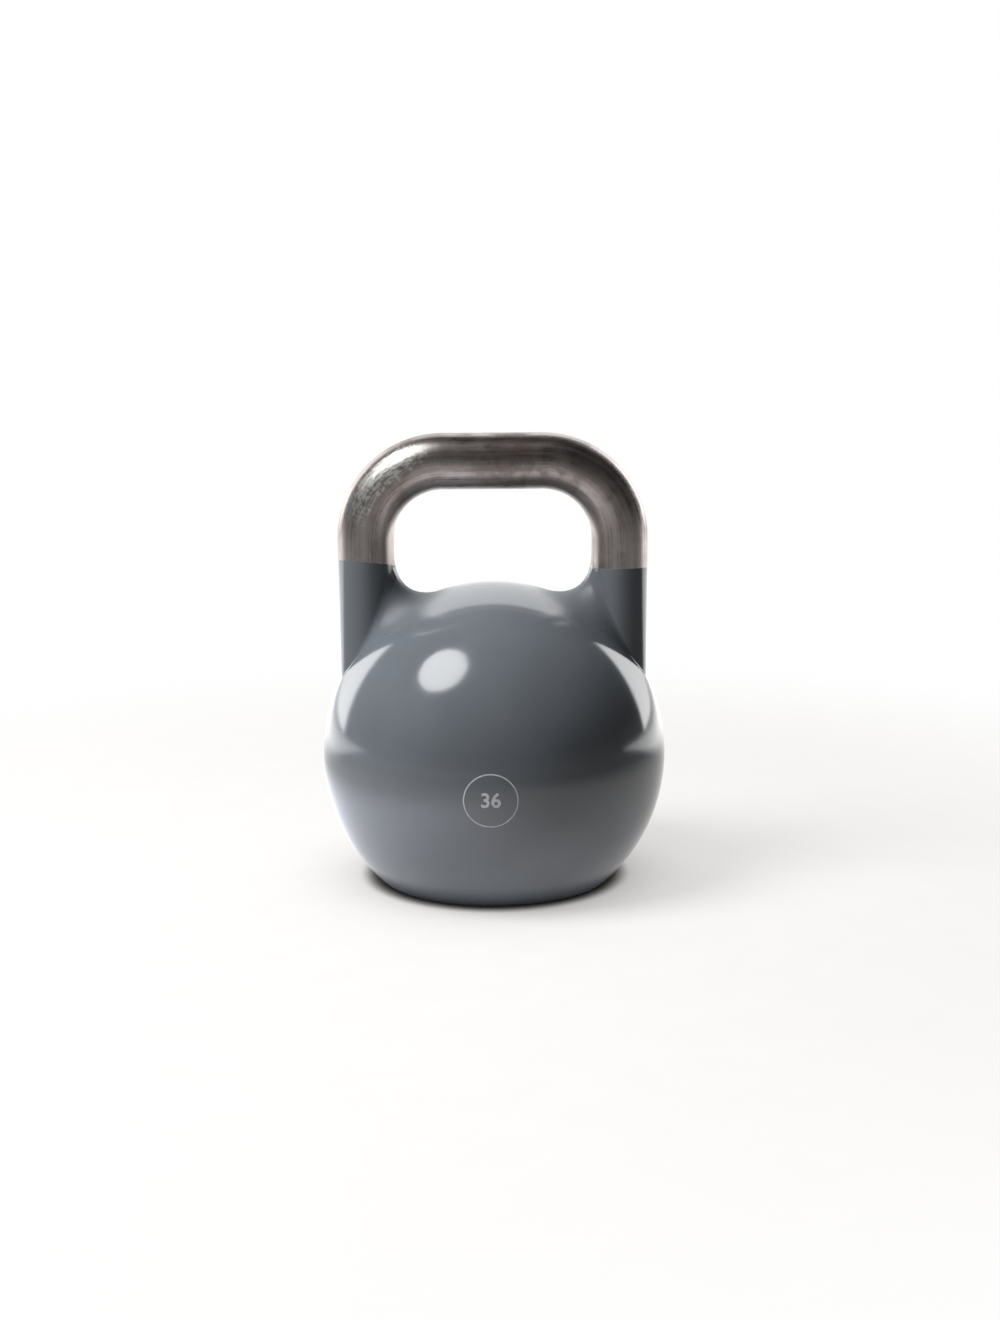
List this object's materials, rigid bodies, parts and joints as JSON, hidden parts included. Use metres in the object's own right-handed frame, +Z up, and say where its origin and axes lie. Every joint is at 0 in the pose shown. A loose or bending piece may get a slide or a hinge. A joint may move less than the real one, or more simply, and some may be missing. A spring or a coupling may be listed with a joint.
{
  "type": "kettlebell",
  "caption": "Competition-style kettlebell: a painted steel ball with a flat foot and two flared horns that carry a bare, bent round bar as the grip.",
  "frame": {"origin": "centre of the flat foot, on the surface that the kettlebell stands on", "axes": "+Z up through the ball and the grip, +X along the grip bar to the right, -Y towards the marked front"},
  "size_m": [0.21, 0.21, 0.2739],
  "materials": {
    "ball_paint": "gloss enamel with slight orange peel",
    "grip_steel": "bare, linished, lightly stained by handling",
    "weld_steel": "weld ground flush",
    "turned_steel": "turned",
    "screw_steel": "blackened",
    "ballast_iron": "as cast",
    "potting_resin": "cast resin",
    "seal_rubber": "matt"
  },
  "bodies": {
    "root": {"ball_shell": "ball_paint", "horn_left": "ball_paint", "horn_right": "ball_paint", "handle_bar": "grip_steel", "weld_ring_left": "weld_steel", "weld_ring_right": "weld_steel", "dowel_left": "turned_steel", "dowel_right": "turned_steel", "ballast_slug": "ballast_iron", "potting_resin": "potting_resin", "packing_disc": "seal_rubber", "plug_gasket": "seal_rubber", "base_plug": "turned_steel", "seam_screw_front": "screw_steel", "seam_screw_back": "screw_steel"}
  },
  "joints": []
}
